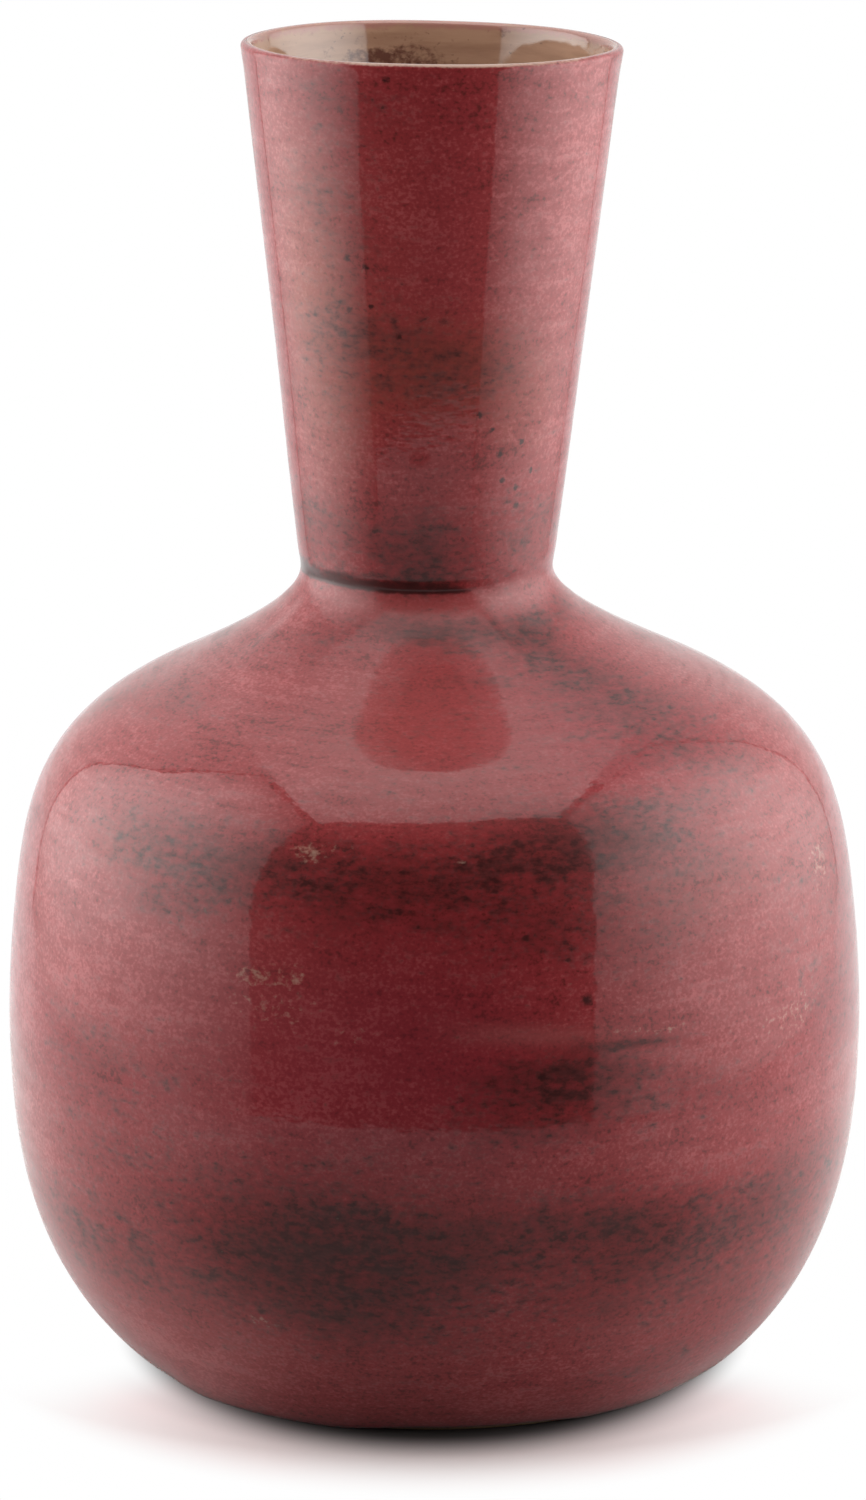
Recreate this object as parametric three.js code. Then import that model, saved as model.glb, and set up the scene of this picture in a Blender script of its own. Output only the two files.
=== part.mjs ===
// A hand-thrown pottery bottle vase: a bowl, a dome and a neck joined with slip, a foot ring and
// two coats of glaze.
// Millimetres, +Z up, the origin on the table under the middle of the foot.
import * as THREE from 'three';

// The finished outline, from the table up: heights are steps, so each one lifts what stands on it
const footBareHeight = 1.4; // bare clay that shows under the edge of the glaze
const footRadius = 74.8; // outside of the glaze at its lower edge
const footFlare = 42; // degrees from the table, of the wall where it leaves the foot
const footPull = 29.6; // how far the curve holds the foot's direction
const bellyRise = 74.6; // from the glaze edge to the widest place
const bellyRadius = 98.9;
const bellyPullDown = 23.2;
const bellyPullUp = 4.7;
const seamRise = 22; // from the widest place to the joint of bowl and dome
const seamRadius = 97.6;
const seamLean = 5.9; // degrees from upright
const seamPullDown = 7.4;
const seamPullUp = 28.9;
const shoulderRise = 58.9;
const shoulderRadius = 62.7;
const shoulderSlope = 25.3; // degrees from level
const shoulderPullDown = 33.4;
const shoulderPullUp = 18;
const collarRise = 24.7; // from the shoulder to the crease under the neck
const collarRadius = 28.5;
const collarPull = 7.9;
const neckFootRadius = 29.25; // the neck stands this far out just over the crease
const neckFootRise = 2.2;
const neckLength = 116.2; // from the neck's foot to the crown of the lip
const lipRadius = 42.45;
const lipThickness = 2.6; // clay and both coats together, rounded over
const crownLand = 0.4; // the flat on top of the lip, where the coats meet
const lipBevel = 8; // degrees that the inside leans out more just under the lip
const lipBevelLength = 12; // from the lip's rounding down the inside

// The wall, clay and both coats together, at each level of the outline
const wallAtFoot = 7.6;
const wallAtBelly = 5.6;
const wallAtShoulder = 5.2;
const wallAtCollar = 5.2;

// The coats: the red one runs down, so it is thin at the lip and thick below, and fills the crease
const glazeAtFoot = 0.9;
const glazeAtLip = 0.4;
const glazePool = 0.7; // what lies in the crease on top of that
const glazePoolReach = 3;
const liningThickness = 0.4;

// The base and the joints
const floorThickness = 7; // clay, over the foot ring's seam
const floorRadius = 38; // where the floor inside begins to turn up
const floorRise = 26; // where that turn meets the wall
const ringHeight = 7;
const ringTread = 8; // width of the flat that stands on the table
const ringTreadInset = 1.6; // from the bare edge of the ring in to the flat
const ringWidth = 13; // at its top, against the floor
const slipThickness = 0.9;
const jointDepth = 2; // of the groove that the next section's edge sits in
const fit = 0.1; // between faces that touch

// The lean of a hand-set neck, and the tilt of its lip
const neckShift = -1.7; // to the side, at the crease
const lipShift = -0.5; // to the side, at the lip
const lipTilt = 0.8; // degrees, down to the right

// How finely the turned surfaces are drawn
const turnSteps = 48;
const bellySteps = 6;
const seamSteps = 1;
const shoulderSteps = 7;
const collarSteps = 5;
const lipSteps = 2;
const floorSteps = 4;

const point = (radius, height) => new THREE.Vector2(radius, height);
const radians = THREE.MathUtils.degToRad;

const glazeEdge = point(footRadius, footBareHeight);
const belly = point(bellyRadius, glazeEdge.y + bellyRise);
const seam = point(seamRadius, belly.y + seamRise);
const shoulder = point(shoulderRadius, seam.y + shoulderRise);
const collar = point(collarRadius, shoulder.y + collarRise);
const neckFoot = point(neckFootRadius, collar.y + neckFootRise);
const lipRound = (lipThickness - crownLand) / 2;
const height = neckFoot.y + neckLength;
const crown = point(lipRadius - lipThickness / 2, height);
const lipOuterCentre = point(crown.x + crownLand / 2, height - lipRound);
const lipInnerCentre = point(crown.x - crownLand / 2, height - lipRound);
const neckLean = Math.atan2(lipRadius - neckFootRadius, lipOuterCentre.y - neckFoot.y);

// The point that lies a pull away from a place, along a direction given as an angle from level
function pulled(place, angle, pull) {
  return point(place.x + pull * Math.cos(angle), place.y + pull * Math.sin(angle));
}

function curveUp(start, startAngle, startPull, end, endAngle, endPull, steps) {
  const startHandle = pulled(start, startAngle, startPull);
  const endHandle = pulled(end, endAngle, -endPull);
  return new THREE.CubicBezierCurve(start, startHandle, endHandle, end).getPoints(steps);
}

// One rounded edge of the lip, seen in section, from one angle to another about its centre
function lipArc(centre, fromAngle, toAngle) {
  return Array.from({ length: lipSteps + 1 }, (_, step) => {
    const angle = fromAngle + ((toAngle - fromAngle) * step) / lipSteps;
    return pulled(centre, angle, lipRound);
  });
}

// Each point of a section's outline moved into the material, which lies to its left
function inset(outline, depthAt) {
  return outline.map((place, index) => {
    const before = outline[Math.max(index - 1, 0)];
    const after = outline[Math.min(index + 1, outline.length - 1)];
    const inward = index > 0 ? place.clone().sub(before) : after.clone().sub(place);
    const onward = index < outline.length - 1 ? after.clone().sub(place) : inward.clone();
    inward.normalize();
    onward.normalize();
    const along = inward.clone().add(onward).normalize();
    const depth = depthAt(place.y) / along.dot(inward);
    return point(place.x - along.y * depth, place.y + along.x * depth);
  });
}

// A value that changes evenly between the levels of a list of [height, value]
function between(levels, level) {
  const above = levels.findIndex(([top]) => level <= top);
  if (above === 0) return levels[0][1];
  if (above < 0) return levels[levels.length - 1][1];
  const [lowHeight, lowValue] = levels[above - 1];
  const [highHeight, highValue] = levels[above];
  return THREE.MathUtils.mapLinear(level, lowHeight, highHeight, lowValue, highValue);
}

const upright = Math.PI / 2;
const seamAngle = upright + radians(seamLean);
const shoulderAngle = Math.PI - radians(shoulderSlope);

// The outside of the red coat, from its lower edge to the crown of the lip
const outside = [
  ...curveUp(glazeEdge, radians(footFlare), footPull, belly, upright, bellyPullDown, bellySteps),
  ...curveUp(belly, upright, bellyPullUp, seam, seamAngle, seamPullDown, seamSteps).slice(1),
  ...curveUp(
    seam, seamAngle, seamPullUp, shoulder, shoulderAngle, shoulderPullDown, shoulderSteps,
  ).slice(1),
  ...curveUp(
    shoulder, shoulderAngle, shoulderPullUp, collar, upright, collarPull, collarSteps,
  ).slice(1),
  neckFoot,
  ...lipArc(lipOuterCentre, -neckLean, upright),
  point(crown.x + fit / 2, height),
];

// The inside of the buff coat, from the crown of the lip down the wall to the middle of the floor
const wallLevels = [
  [glazeEdge.y, wallAtFoot],
  [belly.y, wallAtBelly],
  [shoulder.y, wallAtShoulder],
  [neckFoot.y, wallAtCollar],
];
const underside = ringHeight + slipThickness + 2 * fit;
const clayFloor = underside + floorThickness;
const floorInside = clayFloor + fit + liningThickness;
const wallOutside = outside.slice(0, outside.indexOf(neckFoot) + 1);
const wallInside = inset(wallOutside, (level) => between(wallLevels, level));
const wallAboveTurn = wallInside.filter((place) => place.y > floorInside + floorRise);
const turnTop = wallAboveTurn[0];
const turnSlope = wallAboveTurn[1].clone().sub(turnTop).normalize();
const turnCorner = pulled(turnTop, turnSlope.angle(), -(turnTop.y - floorInside) / turnSlope.y);
const floorTurn = new THREE.QuadraticBezierCurve(turnTop, turnCorner, point(floorRadius, floorInside));
const bevelLean = neckLean + radians(lipBevel);
const lipInside = lipArc(lipInnerCentre, upright, Math.PI - bevelLean);
const bevelFoot = pulled(lipInside[lipSteps], -upright - bevelLean, lipBevelLength);
const inside = [
  point(crown.x - fit / 2, height),
  ...lipInside,
  bevelFoot,
  ...wallAboveTurn.reverse(),
  ...floorTurn.getPoints(floorSteps).slice(1),
  point(0, floorInside),
];

const glazeLevels = [[glazeEdge.y, glazeAtFoot], [lipOuterCentre.y, glazeAtLip]];
function glazeDepth(level) {
  const fromCrease = (level - collar.y) / glazePoolReach;
  return between(glazeLevels, level) + glazePool * Math.exp(-fromCrease * fromCrease);
}

// Where the coats end and the clay begins
const glazeBack = inset(outside, glazeDepth);
const liningBack = inset(inside, () => liningThickness);
const clayOutside = inset(outside, (level) => glazeDepth(level) + fit);
const clayInside = inset(inside, () => liningThickness + fit);

// The part of an outline that lies between two heights, in its own order, cut at both
function stretch(outline, low, high) {
  const kept = [];
  outline.forEach((place, index) => {
    if (place.y > low && place.y < high) kept.push(place.clone());
    const next = outline[index + 1];
    if (!next) return;
    const cuts = [low, high].filter((level) => (level - place.y) * (level - next.y) < 0);
    cuts.sort((one, other) => Math.abs(one - place.y) - Math.abs(other - place.y));
    cuts.forEach((level) => {
      kept.push(place.clone().lerp(next, (level - place.y) / (next.y - place.y)));
    });
  });
  return kept;
}

// The low point of a grooved joint, halfway through the wall
function grooveAt(level) {
  const [outer] = stretch(clayOutside, level, Infinity);
  const inner = stretch(clayInside, level, Infinity).pop();
  return point((outer.x + inner.x) / 2, level - jointDepth);
}

// A thrown section of the wall: up its outside, over its edge, down its inside and back
function wallSection(low, high) {
  return [
    ...stretch(clayOutside, low, high),
    grooveAt(high),
    ...stretch(clayInside, low, high),
    grooveAt(low),
  ];
}

// The slip between two sections, which fills the groove from the outside of the wall to the inside
function slipSection(middle) {
  return wallSection(middle - slipThickness / 2, middle + slipThickness / 2);
}

// The lean and tilt that the neck has, which carry every piece at a height alike
function lean(geometry) {
  const places = geometry.getAttribute('position');
  for (let index = 0; index < places.count; index += 1) {
    const side = places.getX(index);
    const level = places.getZ(index);
    const upShoulder = THREE.MathUtils.smoothstep(level, shoulder.y, collar.y);
    const upNeck = THREE.MathUtils.clamp((level - collar.y) / (height - collar.y), 0, 1);
    const shift = neckShift * upShoulder + (lipShift - neckShift) * upNeck;
    const drop = side * Math.tan(radians(lipTilt)) * upNeck;
    places.setXYZ(index, side + shift, places.getY(index), level - drop);
  }
}

const finishes = {
  redGlaze: { color: 0x8e2a36, roughness: 0.12, metalness: 0 },
  buffGlaze: { color: 0xb09c7c, roughness: 0.2, metalness: 0 },
  firedClay: { color: 0xa98a6c, roughness: 0.85, metalness: 0 },
  firedSlip: { color: 0x8f7459, roughness: 0.9, metalness: 0 },
};

// A piece turned about the upright axis from its section, which is drawn with the material on its left
function turned(name, section, finish) {
  const geometry = new THREE.LatheGeometry(section, turnSteps);
  geometry.rotateX(upright);
  lean(geometry);
  const mesh = new THREE.Mesh(geometry, new THREE.MeshStandardMaterial(finishes[finish]));
  mesh.name = name;
  return mesh;
}

function closed(section) {
  return [...section, section[0].clone()];
}

function footRing() {
  const outer = stretch(clayOutside, -Infinity, ringHeight);
  const bareEdge = outer[0].x;
  const topEdge = outer[outer.length - 1].x;
  return turned('foot_ring', closed([
    point(bareEdge - ringTreadInset - ringTread, 0),
    point(bareEdge - ringTreadInset, 0),
    ...outer,
    point(topEdge - ringWidth, ringHeight),
  ]), 'firedClay');
}

function footSlipSeam() {
  const low = ringHeight + fit;
  const high = low + slipThickness;
  const outer = stretch(clayOutside, low, high);
  const [lowEdge] = outer;
  const highEdge = outer[outer.length - 1];
  return turned('foot_slip_seam', closed([
    ...outer,
    point(highEdge.x - ringWidth, high),
    point(lowEdge.x - ringWidth, low),
  ]), 'firedSlip');
}

const jointGap = slipThickness / 2 + fit;

function baseBowl() {
  const rim = seam.y - jointGap;
  return turned('base_bowl', [
    point(0, underside),
    ...stretch(clayOutside, underside, rim),
    grooveAt(rim),
    ...stretch(clayInside, -Infinity, rim),
  ], 'firedClay');
}

function shoulderDome() {
  const section = wallSection(seam.y + jointGap, collar.y - jointGap);
  return turned('shoulder_dome', closed(section), 'firedClay');
}

function neck() {
  const low = collar.y + jointGap;
  return turned('neck', closed([
    ...stretch(clayOutside, low, Infinity),
    ...stretch(clayInside, low, Infinity),
    grooveAt(low),
  ]), 'firedClay');
}

function outerGlaze() {
  return turned('outer_glaze', closed([...outside, ...glazeBack.reverse()]), 'redGlaze');
}

function liningGlaze() {
  return turned('lining_glaze', [...liningBack.reverse(), ...inside], 'buffGlaze');
}

const vase = new THREE.Group();
vase.add(
  footRing(),
  footSlipSeam(),
  baseBowl(),
  turned('belly_slip_seam', closed(slipSection(seam.y)), 'firedSlip'),
  shoulderDome(),
  turned('collar_slip_seam', closed(slipSection(collar.y)), 'firedSlip'),
  neck(),
  outerGlaze(),
  liningGlaze(),
);

export default vase;
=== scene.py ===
import math
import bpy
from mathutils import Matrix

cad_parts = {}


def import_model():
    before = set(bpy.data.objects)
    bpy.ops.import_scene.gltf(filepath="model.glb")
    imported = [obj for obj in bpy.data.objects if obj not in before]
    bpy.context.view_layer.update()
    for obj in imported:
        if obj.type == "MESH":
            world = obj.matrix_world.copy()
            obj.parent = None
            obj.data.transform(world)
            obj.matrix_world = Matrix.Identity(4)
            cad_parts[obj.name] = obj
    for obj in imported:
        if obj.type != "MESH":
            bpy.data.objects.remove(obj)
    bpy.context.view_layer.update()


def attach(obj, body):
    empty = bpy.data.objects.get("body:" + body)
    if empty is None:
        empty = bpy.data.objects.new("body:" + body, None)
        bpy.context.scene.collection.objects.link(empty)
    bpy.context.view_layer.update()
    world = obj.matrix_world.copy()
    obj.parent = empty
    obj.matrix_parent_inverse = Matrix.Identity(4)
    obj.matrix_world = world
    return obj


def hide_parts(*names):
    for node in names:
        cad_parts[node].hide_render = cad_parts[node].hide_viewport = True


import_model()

from types import SimpleNamespace

import bpy
import numpy as np
from mathutils import Vector

# Driving sizes of the vase in millimetres and degrees, the same as in the solids
FOOT_BARE_HEIGHT = 1.4
FOOT_RADIUS = 74.8
FOOT_FLARE = 42
FOOT_PULL = 29.6
BELLY_RISE = 74.6
BELLY_RADIUS = 98.9
BELLY_PULL_DOWN = 23.2
BELLY_PULL_UP = 4.7
SEAM_RISE = 22
SEAM_RADIUS = 97.6
SEAM_LEAN = 5.9
SEAM_PULL_DOWN = 7.4
SEAM_PULL_UP = 28.9
SHOULDER_RISE = 58.9
SHOULDER_RADIUS = 62.7
SHOULDER_SLOPE = 25.3
SHOULDER_PULL_DOWN = 33.4
SHOULDER_PULL_UP = 18
COLLAR_RISE = 24.7
COLLAR_RADIUS = 28.5
COLLAR_PULL = 7.9
NECK_FOOT_RADIUS = 29.25
NECK_FOOT_RISE = 2.2
NECK_LENGTH = 116.2
LIP_RADIUS = 42.45
LIP_THICKNESS = 2.6
CROWN_LAND = 0.4
LIP_BEVEL = 8
LIP_BEVEL_LENGTH = 12
WALL_AT_FOOT = 7.6
WALL_AT_BELLY = 5.6
WALL_AT_SHOULDER = 5.2
WALL_AT_COLLAR = 5.2
GLAZE_AT_FOOT = 0.9
GLAZE_AT_LIP = 0.4
GLAZE_POOL = 0.7
GLAZE_POOL_REACH = 3
LINING_THICKNESS = 0.4
FLOOR_THICKNESS = 7
FLOOR_RADIUS = 38
FLOOR_RISE = 26
RING_HEIGHT = 7
RING_TREAD = 8
RING_TREAD_INSET = 1.6
RING_WIDTH = 13
SLIP_THICKNESS = 0.9
JOINT_DEPTH = 2
FIT = 0.1
NECK_SHIFT = -1.7
LIP_SHIFT = -0.5
LIP_TILT = 0.8

# How finely the turned surfaces are drawn
GLAZE_STEPS = 256
CLAY_STEPS = 128
CURVE_STEPS = 200
ARC_STEPS = 8
GLAZE_SPACING = 1.15
EDGE_SPACING = 0.45
CLAY_SPACING = 3.0
LINING_SPACING = 2.0
FINE_AT_CREASE = 7
CLAY_FINE_AT_CREASE = 5
FINE_AT_LIP = 3

# The hand of the potter: how far the surface strays from the turned outline
SURFACE_INSET = 0.16
LEAST_INSET = 0.01
THROWING_DEPTH = 0.008
THROWING_WAVES = {"seed": 4, "count": 5, "most_round": 2, "shortest": 11.2, "longest": 21}
NECK_SMOOTHER = 0.5
ON_NECK_FROM = -4
ON_NECK_TO = 6
OUT_OF_ROUND = 0.12
UNEVEN_WAVES = {"seed": 9, "count": 6, "most_round": 4, "shortest": 50, "longest": 160}
CALM_ABOVE_EDGE = 8
CALM_BELOW_LIP_FROM = 7
CALM_BELOW_LIP_TO = 1
LIP_WAVE = 0.35
LIP_WAVE_REACH = 14
LIP_WAVES = [
    # waves round the lip, share, phase
    (2, 0.3, 0.6),
    (5, 0.2, 2.0),
]
BEVEL_ROUND = 6
LEDGE_DEPTH = 0.2
LEDGE_TOP = 100.6
LEDGE_LOW = 98.6
LEDGE_END = 97.8
LEDGE_FROM = 4
LEDGE_TO = 36
LEDGE_FADE = 8
LEDGE_SINK = 0.21
SHARP_CREASE = 0.5
SOFT_CREASE = 2.6
SOFT_FROM = 24
SOFT_TO = 300
SOFT_FADE = 12
FILLED_PULL = 6.2
FILLED_TO = 80
FILLED_FADE = 20
GLAZE_RUN_REACH = 14
GLAZE_RUNS = [
    # from, full from, full to, to, how much lower the red glaze ends
    (-57, -43, -18, -2, 1.25),
    (15, 28, 38, 52, 0.7),
]

UPRIGHT = math.pi / 2
MM = 0.001


def place(radius, height):
    return np.array([radius, height], dtype=float)


GLAZE_EDGE = place(FOOT_RADIUS, FOOT_BARE_HEIGHT)
BELLY = place(BELLY_RADIUS, GLAZE_EDGE[1] + BELLY_RISE)
SEAM = place(SEAM_RADIUS, BELLY[1] + SEAM_RISE)
SHOULDER = place(SHOULDER_RADIUS, SEAM[1] + SHOULDER_RISE)
COLLAR = place(COLLAR_RADIUS, SHOULDER[1] + COLLAR_RISE)
NECK_FOOT = place(NECK_FOOT_RADIUS, COLLAR[1] + NECK_FOOT_RISE)
HEIGHT = NECK_FOOT[1] + NECK_LENGTH
LIP_ROUND = (LIP_THICKNESS - CROWN_LAND) / 2
CROWN = place(LIP_RADIUS - LIP_THICKNESS / 2, HEIGHT)
LIP_OUTER_CENTRE = place(CROWN[0] + CROWN_LAND / 2, HEIGHT - LIP_ROUND)
LIP_INNER_CENTRE = place(CROWN[0] - CROWN_LAND / 2, HEIGHT - LIP_ROUND)
NECK_LEAN = math.atan2(LIP_RADIUS - NECK_FOOT_RADIUS, LIP_OUTER_CENTRE[1] - NECK_FOOT[1])
UNDERSIDE = RING_HEIGHT + SLIP_THICKNESS + 2 * FIT
FLOOR_INSIDE = UNDERSIDE + FLOOR_THICKNESS + FIT + LINING_THICKNESS


def pulled(point, angle, pull):
    return point + pull * np.array([math.cos(angle), math.sin(angle)])


def curve_up(start, start_angle, start_pull, end, end_angle, end_pull):
    """A cubic curve between two places of the outline, leaving and reaching them at given angles."""
    start_handle = pulled(start, start_angle, start_pull)
    end_handle = pulled(end, end_angle, -end_pull)
    t = np.linspace(0, 1, CURVE_STEPS + 1)[:, None]
    u = 1 - t
    return u**3 * start + 3 * u**2 * t * start_handle + 3 * u * t**2 * end_handle + t**3 * end


def lip_arc(centre, from_angle, to_angle):
    angles = np.linspace(from_angle, to_angle, ARC_STEPS + 1)[:, None]
    return centre + LIP_ROUND * np.hstack([np.cos(angles), np.sin(angles)])


def bend(start, corner, end, count):
    """A curve that leaves its start towards a corner and reaches its end from there."""
    t = np.linspace(0, 1, count)[:, None]
    return (1 - t) ** 2 * start + 2 * t * (1 - t) * corner + t**2 * end


def rounded_corner(before, corner, after, reach):
    """The curve that replaces a corner between two straight lines, starting a reach away from it."""
    start = corner + (before - corner) * reach / np.linalg.norm(before - corner)
    end = corner + (after - corner) * reach / np.linalg.norm(after - corner)
    return bend(start, corner, end, ARC_STEPS + 1)


def arc_length(line):
    return np.concatenate([[0], np.cumsum(np.linalg.norm(np.diff(line, axis=0), axis=1))])


def stops_along(line, spacing_at):
    """Where points are drawn on a line, counted in its own points, at a spacing set by the height."""
    along = arc_length(line)
    stops = [0.0]
    while stops[-1] < along[-1]:
        level = np.interp(stops[-1], along, line[:, 1])
        stops.append(stops[-1] + spacing_at(level))
    return np.interp(np.array(stops) * along[-1] / stops[-1], along, np.arange(len(line)))


def drawn_at(line, stops):
    counted = np.arange(len(line))
    return np.stack([np.interp(stops, counted, line[:, axis]) for axis in (0, 1)], axis=1)


def respaced(line, spacing_at):
    return drawn_at(line, stops_along(line, spacing_at))


def leftward(line):
    """The direction into the material, which lies to the line's left, at every point."""
    along = np.gradient(line, axis=0)
    along /= np.linalg.norm(along, axis=1)[:, None]
    return np.stack([-along[:, 1], along[:, 0]], axis=1)


def inset(line, depth):
    return line + leftward(line) * np.broadcast_to(depth, len(line))[:, None]


def softened(line, reach):
    """The line with its corner at the crease rounded over a reach, up to three reaches away."""
    along = arc_length(line)
    out = line.copy()
    near_crease = np.abs(line[:, 1] - (COLLAR[1] + NECK_FOOT[1]) / 2) < NECK_FOOT_RISE + 3 * reach
    for index in np.nonzero(near_crease)[0]:
        weight = np.exp(-(((along - along[index]) / reach) ** 2))
        out[index] = (line * weight[:, None]).sum(axis=0) / weight.sum()
    return out


def outline(collar_pull=COLLAR_PULL):
    """The outside of the red coat, from its lower edge to the crown of the lip."""
    seam_angle = UPRIGHT + math.radians(SEAM_LEAN)
    shoulder_angle = math.pi - math.radians(SHOULDER_SLOPE)
    return np.concatenate([
        curve_up(GLAZE_EDGE, math.radians(FOOT_FLARE), FOOT_PULL, BELLY, UPRIGHT, BELLY_PULL_DOWN),
        curve_up(BELLY, UPRIGHT, BELLY_PULL_UP, SEAM, seam_angle, SEAM_PULL_DOWN)[1:],
        curve_up(SEAM, seam_angle, SEAM_PULL_UP, SHOULDER, shoulder_angle, SHOULDER_PULL_DOWN)[1:],
        curve_up(SHOULDER, shoulder_angle, SHOULDER_PULL_UP, COLLAR, UPRIGHT, collar_pull)[1:],
        [NECK_FOOT],
        lip_arc(LIP_OUTER_CENTRE, -NECK_LEAN, UPRIGHT),
        [place(CROWN[0] + FIT / 2, HEIGHT)],
    ])


def spaced(fine_at_crease, elsewhere):
    """How far apart points are drawn, as a function of the height: closer at the crease and the lip."""
    def spacing_at(level):
        near_crease = abs(level - COLLAR[1]) < fine_at_crease
        near_lip = level > HEIGHT - FINE_AT_LIP
        return EDGE_SPACING if near_crease or near_lip else elsewhere
    return spacing_at


def lining_line(outside):
    """The inside of the buff coat, from the crown of the lip down the wall to the floor's middle."""
    levels = [GLAZE_EDGE[1], BELLY[1], SHOULDER[1], NECK_FOOT[1]]
    walls = [WALL_AT_FOOT, WALL_AT_BELLY, WALL_AT_SHOULDER, WALL_AT_COLLAR]
    wall = outside[outside[:, 1] < NECK_FOOT[1]]
    wall = inset(wall, np.interp(wall[:, 1], levels, walls))
    wall = wall[wall[:, 1] > FLOOR_INSIDE + FLOOR_RISE]
    turn_top = wall[0]
    slope = wall[1] - wall[0]
    turn_corner = turn_top - slope * (turn_top[1] - FLOOR_INSIDE) / slope[1]
    turn = bend(turn_top, turn_corner, place(FLOOR_RADIUS, FLOOR_INSIDE), CURVE_STEPS)
    bevel_lean = NECK_LEAN + math.radians(LIP_BEVEL)
    lip = lip_arc(LIP_INNER_CENTRE, UPRIGHT, math.pi - bevel_lean)
    bevel_foot = pulled(lip[-1], -UPRIGHT - bevel_lean, LIP_BEVEL_LENGTH)
    bevel = rounded_corner(lip[-1], bevel_foot, wall[-1], BEVEL_ROUND)
    return np.concatenate([
        [place(CROWN[0] - FIT / 2, HEIGHT)],
        lip,
        bevel,
        wall[::-1],
        turn[1:],
        [place(0, FLOOR_INSIDE)],
    ])


def glaze_depth(levels):
    run = np.interp(levels, [GLAZE_EDGE[1], LIP_OUTER_CENTRE[1]], [GLAZE_AT_FOOT, GLAZE_AT_LIP])
    return run + GLAZE_POOL * np.exp(-(((levels - COLLAR[1]) / GLAZE_POOL_REACH) ** 2))


def stretch(line, low, high):
    """The part of a line that lies between two heights, in its own order, cut at both."""
    kept = []
    for here, beyond in zip(line, list(line[1:]) + [None]):
        if low < here[1] < high:
            kept.append(here)
        if beyond is None:
            continue
        cuts = [level for level in (low, high) if (level - here[1]) * (level - beyond[1]) < 0]
        for level in sorted(cuts, key=lambda cut: abs(cut - here[1])):
            kept.append(here + (beyond - here) * (level - here[1]) / (beyond[1] - here[1]))
    return np.array(kept)


ROUGH_OUTSIDE = outline()
OUTSIDE_STOPS = stops_along(ROUGH_OUTSIDE, spaced(FINE_AT_CREASE, GLAZE_SPACING))
OUTSIDE = drawn_at(ROUGH_OUTSIDE, OUTSIDE_STOPS)
FILLED_OUTSIDE = drawn_at(outline(FILLED_PULL), OUTSIDE_STOPS)
CLAY_LINE = respaced(ROUGH_OUTSIDE, spaced(CLAY_FINE_AT_CREASE, CLAY_SPACING))
CLAY_LINE = softened(CLAY_LINE, SHARP_CREASE)
INSIDE = respaced(lining_line(CLAY_LINE), spaced(CLAY_FINE_AT_CREASE, LINING_SPACING))
CLAY_OUTSIDE = inset(CLAY_LINE, glaze_depth(CLAY_LINE[:, 1]) + FIT)
CLAY_INSIDE = inset(INSIDE, LINING_THICKNESS + FIT)


def smooth_step(values, low, high):
    t = np.clip((values - low) / (high - low), 0, 1)
    return t * t * (3 - 2 * t)


def azimuths(steps):
    """Angles round the vase from the front, to the right, in radians."""
    return np.linspace(-math.pi, math.pi, steps, endpoint=False)


def turned_points(radius, level, steps):
    """Places in the frame of a turned surface, with the lean of the hand-set neck and the lip's tilt."""
    around = azimuths(steps)
    x = radius * np.sin(around)
    y = -radius * np.cos(around)
    up_shoulder = smooth_step(level, SHOULDER[1], COLLAR[1])
    up_neck = np.clip((level - COLLAR[1]) / (HEIGHT - COLLAR[1]), 0, 1)
    # The shares of the waves add up to a half, so the wave goes from 0 to 1
    wave = 0.5 - sum(share * np.sin(count * around + phase) for count, share, phase in LIP_WAVES)
    drop = x * math.tan(math.radians(LIP_TILT)) * up_neck
    drop = drop + LIP_WAVE * wave * smooth_step(level, HEIGHT - LIP_WAVE_REACH, HEIGHT)
    shift = NECK_SHIFT * up_shoulder + (LIP_SHIFT - NECK_SHIFT) * up_neck
    return np.stack([x + shift, y, level - drop], axis=2) * MM


def grid(section, steps):
    """A section repeated all the way round: its radius and its level at every ring and step."""
    ones = np.ones((1, steps))
    return section[:, 0:1] * ones, section[:, 1:2] * ones


def mesh_object(name, points, faces, material):
    mesh = bpy.data.meshes.new(name)
    mesh.from_pydata(points, [], faces)
    mesh.materials.append(material)
    made = bpy.data.objects.new(name, mesh)
    bpy.context.scene.collection.objects.link(made)
    return made


def turned(name, radius, level, material, on_axis=False, fields=None):
    """A closed turned piece. on_axis closes a section whose ends lie on the axis with a middle point each."""
    rings, steps = radius.shape
    points = turned_points(radius, level, steps).reshape(-1, 3)
    ring = np.arange(rings - 1 if on_axis else rings)[:, None]
    step = np.arange(steps)[None, :]
    above = (ring + 1) % rings
    beside = (step + 1) % steps
    quads = np.stack([
        ring * steps + step,
        ring * steps + beside,
        above * steps + beside,
        above * steps + step,
    ], axis=2).reshape(-1, 4)
    faces = quads.tolist()
    if on_axis:
        middles = [points[:steps].mean(axis=0), points[-steps:].mean(axis=0)]
        first = len(points)
        points = np.vstack([points, middles])
        last_ring = (rings - 1) * steps
        for here in range(steps):
            there = (here + 1) % steps
            faces.append([first, there, here])
            faces.append([first + 1, last_ring + here, last_ring + there])
    piece = mesh_object(name, points.tolist(), faces, material)
    piece.data.shade_smooth()
    for field, values in (fields or {}).items():
        flat = values.reshape(rings * steps, -1)
        if on_axis:
            flat = np.vstack([flat, flat[0], flat[-1]])
        kind = "FLOAT_VECTOR" if flat.shape[1] == 3 else "FLOAT"
        carried = piece.data.attributes.new(field, kind, "POINT")
        carried.data.foreach_set("vector" if kind == "FLOAT_VECTOR" else "value", flat.ravel())
    return piece


def finished(piece, solid):
    """The piece stands in for a solid, which is hidden, and rides with the vase."""
    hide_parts(solid)
    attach(piece, "root")


# Shader helpers


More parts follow.
